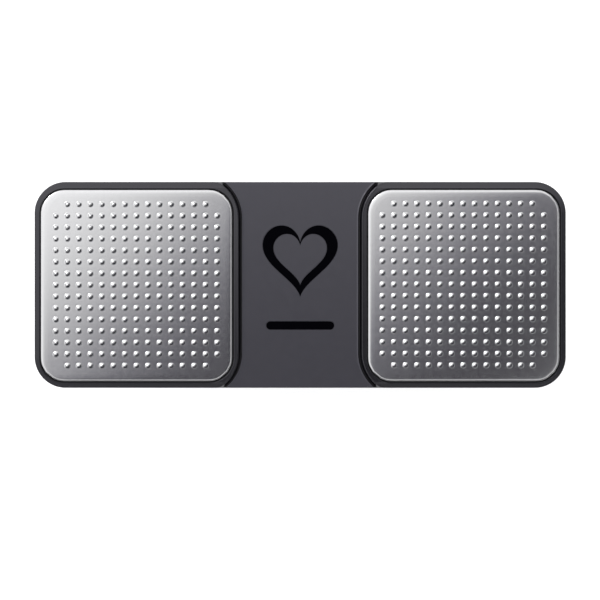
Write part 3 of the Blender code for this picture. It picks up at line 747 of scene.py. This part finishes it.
def finish_of(name, dark, light, rough, metallic=0.0, scale=900, fine=9000, bump=0.1,
              depth=0.02 * MM, stretch=(1, 1, 1), **uniform):
    """A material whose colour and roughness wander a little, with a fine grain in relief."""
    made, tree, shader = nodes_of(name)
    wander = grain(tree, scale, 3.0, stretch)
    tree.links.new(blended(tree, wander, dark, light), shader.inputs["Base Color"])
    tree.links.new(between(tree, wander, *rough), shader.inputs["Roughness"])
    shader.inputs["Metallic"].default_value = metallic
    for key, held in uniform.items():
        shader.inputs[key.replace("_", " ")].default_value = held
    if bump:
        bumped(tree, shader, grain(tree, fine, 2.0, stretch), bump, depth)
    return made


PLASTIC = finish_of("satin_black_plastic", (0.016, 0.0152, 0.0225), (0.0215, 0.0203, 0.0285),
                    (0.36, 0.44), fine=14000, bump=0.2, depth=0.010 * MM, Specular_IOR_Level=0.84,
                    Specular_Tint=(0.93, 0.92, 1.0, 1.0))
RIM_PLASTIC = finish_of("gloss_black_rim", (0.0025, 0.0024, 0.0035), (0.0035, 0.0033, 0.005),
                        (0.22, 0.28), bump=0.05, depth=0.006 * MM, Specular_IOR_Level=0.78,
                        Specular_Tint=(0.93, 0.92, 1.0, 1.0))
GLOSS = finish_of("gloss_black_inlay", (0.0006, 0.0006, 0.0014), (0.001, 0.0009, 0.002),
                  (0.10, 0.16), bump=0, Specular_IOR_Level=0.02)
# Painted shade for the gap round each plate and the groove by the panel: a black that reflects
# little
CHANNEL_SHADE = finish_of("channel_painted_shade", (0.0035, 0.0032, 0.0045), (0.005, 0.0045, 0.006), (0.3, 0.4),
                 bump=0, Specular_IOR_Level=0.25)
STEEL = finish_of("electrode_steel", (0.595, 0.595, 0.605), (0.65, 0.65, 0.66), (0.15, 0.21),
                  metallic=1.0, scale=1500, fine=16000, bump=0.1, depth=0.006 * MM)
CAN = finish_of("cell_steel", (0.62, 0.62, 0.61), (0.72, 0.72, 0.70), (0.20, 0.34), metallic=1.0,
                scale=500, fine=5000, bump=0.12, depth=0.01 * MM)
SEAL = finish_of("seal_grey", (0.13, 0.13, 0.135), (0.17, 0.17, 0.175), (0.5, 0.62))
FILM = finish_of("adhesive_film", (0.70, 0.68, 0.60), (0.78, 0.76, 0.69), (0.5, 0.65))
BOARD = finish_of("board_green", (0.012, 0.13, 0.055), (0.02, 0.18, 0.08), (0.35, 0.5))
CHIP = finish_of("chip_black", (0.016, 0.016, 0.018), (0.026, 0.026, 0.028), (0.45, 0.6))
TAN = finish_of("capacitor_tan", (0.40, 0.27, 0.17), (0.48, 0.33, 0.22), (0.42, 0.55))
GOLD = finish_of("spring_gold", (0.80, 0.58, 0.24), (0.88, 0.68, 0.34), (0.2, 0.32), metallic=1.0)
BRASS = finish_of("piezo_brass", (0.68, 0.48, 0.17), (0.76, 0.56, 0.24), (0.25, 0.4),
                  metallic=1.0)
WHITE = finish_of("piezo_white", (0.74, 0.73, 0.68), (0.82, 0.81, 0.77), (0.5, 0.62))
RED = finish_of("lead_red", (0.42, 0.02, 0.02), (0.52, 0.035, 0.03), (0.42, 0.52))
BY_SLOT = {"black_plastic": PLASTIC, "electrode_steel": STEEL, "adhesive_film": FILM,
           "board_green": BOARD, "chip_black": CHIP, "can_steel": CAN, "capacitor_tan": TAN,
           "seal_grey": SEAL, "spring_gold": GOLD, "piezo_brass": BRASS, "piezo_white": WHITE,
           "lead_red": RED}
for node in frame["nodes"].values():
    for place in node.material_slots:
        held = place.material.name.split(".")[0]
        place.material = BY_SLOT.get(held, PLASTIC)

# Pieces that show most
front_shell(PLASTIC, RIM_PLASTIC, CHANNEL_SHADE)
plate("left_plate", -1, "left_electrode", STEEL)
plate("right_plate", 1, "right_electrode", STEEL)
back_shell(PLASTIC)
door_shell(PLASTIC)

# The coin cell and the wall of its cup, turned about the pad's middle
cell_radius = (cell_high.x - cell_low.x) / 2
cell_at = (PAD_X, 0)
can_top = cell_high.z
bend = 0.3 * MM
SHEET = 0.25 * MM
CUP_GAP = 0.15 * MM
CUP_WALL = 0.5 * MM
CUP_EDGE = 0.08 * MM
CUP_LOW = 0.7 * MM
can = [(0, cell_low.z), (cell_radius - bend, cell_low.z)]
can += [(cell_radius - bend + bend * math.sin(a), cell_low.z + bend - bend * math.cos(a))
        for a in (math.pi / 8, math.pi / 4, 3 * math.pi / 8, math.pi / 2)]
can += [(cell_radius, can_top - 0.25 * MM), (cell_radius - 0.05 * MM, can_top - 0.08 * MM),
        (cell_radius - 0.13 * MM, can_top), (cell_radius - SHEET, can_top - 0.02 * MM),
        (cell_radius - SHEET, cell_low.z + SHEET), (0, cell_low.z + SHEET)]
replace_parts(turned("cell_can", can, cell_at, CAN), "coin_cell_can")
seal_out = (seal_high.x - seal_low.x) / 2
seal_in = seal_out - 0.4 * MM
seal = [(seal_in, seal_high.z), (seal_out, seal_high.z), (seal_out, seal_low.z),
        (seal_in, seal_low.z)]
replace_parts(turned("cell_seal", seal, cell_at, SEAL, closed=True), "coin_cell_seal")
cap_out = (cap_high.x - cap_low.x) / 2
cap = [(0, cap_high.z), (cap_out - 0.5 * MM, cap_high.z),
       (cap_out - 0.25 * MM, cap_high.z - 0.03 * MM),
       (cap_out, cap_high.z - 0.15 * MM), (cap_out, cap_low.z), (0, cap_low.z)]
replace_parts(turned("cell_cap", cap, cell_at, CAN), "coin_cell_cap")
cup_in = cell_radius + CUP_GAP
cup_out = cup_in + CUP_WALL
cup = [(cup_in, CEILING), (cup_in, CUP_LOW + CUP_EDGE), (cup_in + CUP_EDGE, CUP_LOW),
       (cup_out - CUP_EDGE, CUP_LOW), (cup_out, CUP_LOW + CUP_EDGE), (cup_out, CEILING)]
turned("cell_cup_wall", cup, cell_at, PLASTIC, closed=True)

# The glossy inlays on the floors of the panel's recesses
for name, (outlines, _) in PANEL_MARKS.items():
    bm = mark_form([(PANEL_TOP - INLAY_LOW, outlines),
                    (PANEL_TOP - MARK_DEPTH + INLAY_RISE, outlines)])
    object_of(name, bm, GLOSS, smooth=False)

# Floor: matt and light, lifted to white where it is seen, and clear from below
FLOOR_DROP = 22 * MM
FLOOR_GLOW = 0.69
bm = bmesh.new()
bmesh.ops.create_grid(bm, x_segments=1, y_segments=1, size=4)
bmesh.ops.translate(bm, vec=(0, 0, -FLOOR_DROP), verts=bm.verts)
made, tree, shader = nodes_of("floor_white")
shader.inputs["Base Color"].default_value = (0.8, 0.8, 0.8, 1)
shader.inputs["Roughness"].default_value = 0.9
shader.inputs["Specular IOR Level"].default_value = 0.0
path = tree.nodes.new("ShaderNodeLightPath")
seen = path.outputs["Is Camera Ray"]
for ray in ("Is Glossy Ray", "Is Transmission Ray"):
    seen = worked(tree, "MAXIMUM", seen, path.outputs[ray])
glow = tree.nodes.new("ShaderNodeEmission")
glow.inputs["Color"].default_value = (1, 1, 1, 1)
tree.links.new(worked(tree, "MULTIPLY", seen, FLOOR_GLOW), glow.inputs["Strength"])
both = tree.nodes.new("ShaderNodeAddShader")
tree.links.new(shader.outputs[0], both.inputs[0])
tree.links.new(glow.outputs[0], both.inputs[1])
clear = tree.nodes.new("ShaderNodeBsdfTransparent")
side_of = tree.nodes.new("ShaderNodeNewGeometry")
one_sided = tree.nodes.new("ShaderNodeMixShader")
tree.links.new(side_of.outputs["Backfacing"], one_sided.inputs["Fac"])
tree.links.new(both.outputs[0], one_sided.inputs[1])
tree.links.new(clear.outputs[0], one_sided.inputs[2])
tree.links.new(one_sided.outputs[0], tree.nodes["Material Output"].inputs["Surface"])
object_of("floor", bm, made, body=None, smooth=False)

# World: a light tent that brightens towards the top left
SKY = 1.5
world = bpy.data.worlds.new("studio")
world.use_nodes = True
bpy.context.scene.world = world
tree = world.node_tree
sky = tree.nodes["Background"]
sky.inputs["Strength"].default_value = SKY


def ranged(value, start, end, kind="SMOOTHSTEP"):
    """A share that goes from 0 to 1 as a value goes from start to end."""
    node = tree.nodes.new("ShaderNodeMapRange")
    node.interpolation_type = kind
    node.inputs["From Min"].default_value = start
    node.inputs["From Max"].default_value = end
    tree.links.new(value, node.inputs["Value"])
    return node.outputs["Result"]


def sky_ramp(levels):
    """The sky's light along its share towards the top left; its dark parts are a little blue."""
    ramp = tree.nodes.new("ShaderNodeValToRGB")
    ramp.color_ramp.interpolation = "CARDINAL"
    while len(ramp.color_ramp.elements) < len(levels):
        ramp.color_ramp.elements.new(0.5)
    for element, (at, level) in zip(ramp.color_ramp.elements, levels):
        blue = max(0.14 - 0.2 * level, 0)
        element.position = at
        element.color = (level / SKY * (1 - blue / 4), level / SKY * (1 - blue / 2),
                         level / SKY * (1 + blue), 1)
    tree.links.new(share, ramp.inputs["Fac"])
    return ramp.outputs["Color"]


def mixed(factor, first, second):
    """The sky's light between two kinds, each worked out before or three plain levels."""
    node = tree.nodes.new("ShaderNodeMix")
    node.data_type = "RGBA"
    tree.links.new(factor, node.inputs["Factor"])
    for held, end in ((first, node.inputs["A"]), (second, node.inputs["B"])):
        if isinstance(held, tuple):
            end.default_value = (*(level / SKY for level in held), 1)
        else:
            tree.links.new(held, end)
    return node.outputs["Result"]


place = tree.nodes.new("ShaderNodeTexCoord")
toward = tree.nodes.new("ShaderNodeVectorMath")
toward.operation = "DOT_PRODUCT"
toward.inputs[1].default_value = (*LIGHT_SIDE, 0)
tree.links.new(place.outputs["Generated"], toward.inputs[0])
share = ranged(toward.outputs["Value"], -1, 1, "LINEAR")
split = tree.nodes.new("ShaderNodeSeparateXYZ")
tree.links.new(place.outputs["Generated"], split.inputs[0])
height = split.outputs["Z"]
level_part = worked(tree, "SQRT",
                    worked(tree, "SUBTRACT", 1.0, worked(tree, "MULTIPLY", height, height)))
heading = worked(tree, "DIVIDE", toward.outputs["Value"],
                 worked(tree, "MAXIMUM", level_part, 0.001))

# Straight above is the dimmer gap that a camera looks through, and round it is the light tent,
# which fades towards the floor and is open and dark part way up at the lower right
overhead = sky_ramp(((0.0, 0.2), (0.375, 0.06), (0.4415, 0.08), (0.472, 0.19), (0.5, 0.45),
                     (0.528, 0.78), (0.561, 1.1), (0.603, 1.4), (0.664, 1.5), (1.0, 1.4)))
tent = sky_ramp(((0.0, 0.9), (0.3, 1.0), (0.5, 1.15), (0.63, 1.25), (0.75, 1.45), (0.88, 1.5),
                 (1.0, 1.4)))
part_way = worked(tree, "MULTIPLY", ranged(height, 0.85, 0.68), ranged(height, 0.28, 0.37))
dark = worked(tree, "MULTIPLY", ranged(heading, 0.15, -0.30), part_way)
light = mixed(ranged(height, 0.62, 0.42), tent, (0.60, 0.60, 0.61))
light = mixed(dark, light, (0.035, 0.035, 0.045))
light = mixed(ranged(height, 0.915, 0.95), light, overhead)
light = mixed(ranged(height, 0.10, -0.02, "LINEAR"), light, (1, 1, 1))
tree.links.new(light, sky.inputs["Color"])

# Key light from the top left
sun = bpy.data.objects.new("key", bpy.data.lights.new("key", "SUN"))
sun.data.energy = 1.0
sun.data.angle = math.radians(14)
sun.rotation_mode = "QUATERNION"
sun.rotation_quaternion = Vector((-0.52, 0.55, 0.65)).to_track_quat("Z", "Y")
bpy.context.scene.collection.objects.link(sun)

# Camera, straight over the case
camera = bpy.data.objects.new("camera", bpy.data.cameras.new("camera"))
bpy.context.scene.collection.objects.link(camera)
camera.data.lens = 233.3
camera.data.sensor_width = 36.0
camera.data.clip_start = 0.05
camera.location = (-0.028 * MM, -2.33 * MM, CREST_TOP + 0.6)
bpy.context.scene.camera = camera
bpy.context.scene.view_settings.view_transform = "Standard"
